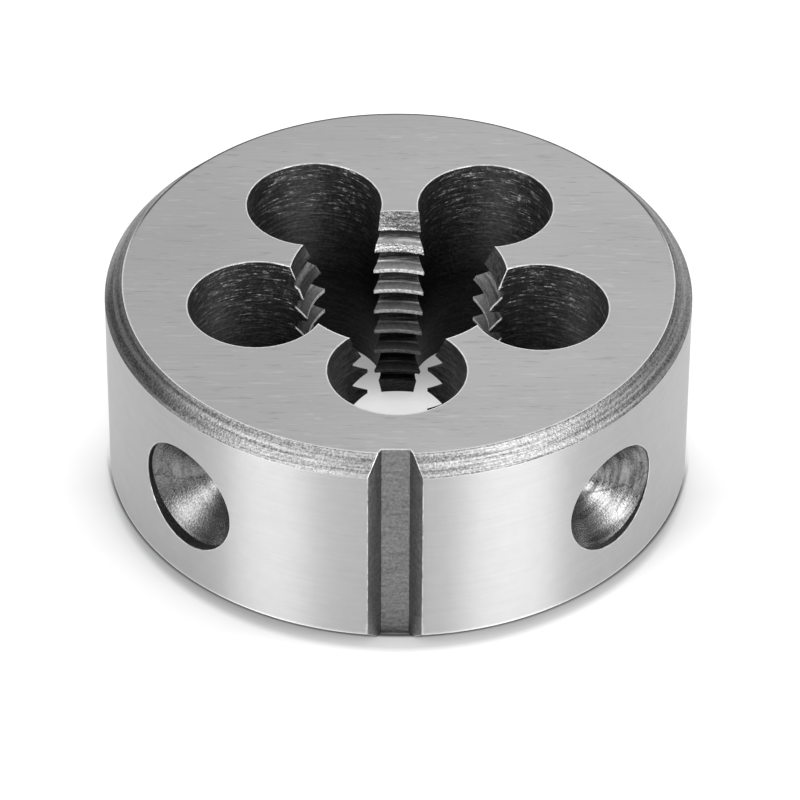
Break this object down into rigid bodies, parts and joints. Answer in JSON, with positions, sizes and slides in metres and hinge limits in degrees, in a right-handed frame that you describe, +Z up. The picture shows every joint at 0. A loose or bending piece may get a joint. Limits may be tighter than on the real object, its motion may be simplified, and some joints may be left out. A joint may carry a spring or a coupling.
{
  "type": "round threading die",
  "caption": "Round threading die in bare ground tool steel: a thick chamfered disc with a threaded bore parted into cutting lands by chip holes, a V slot in the rim and drilled screw recesses.",
  "frame": {"origin": "on the die's axis, at the centre of its lower face, which rests on the bench", "axes": "+Z up along the axis of the bore, with the V slot of the rim towards -Y and a cutting land towards +Y"},
  "size_m": [0.045, 0.0449, 0.018],
  "materials": {
    "ground_steel": "satin"
  },
  "bodies": {
    "root": {"die_body": "ground_steel"}
  },
  "joints": []
}
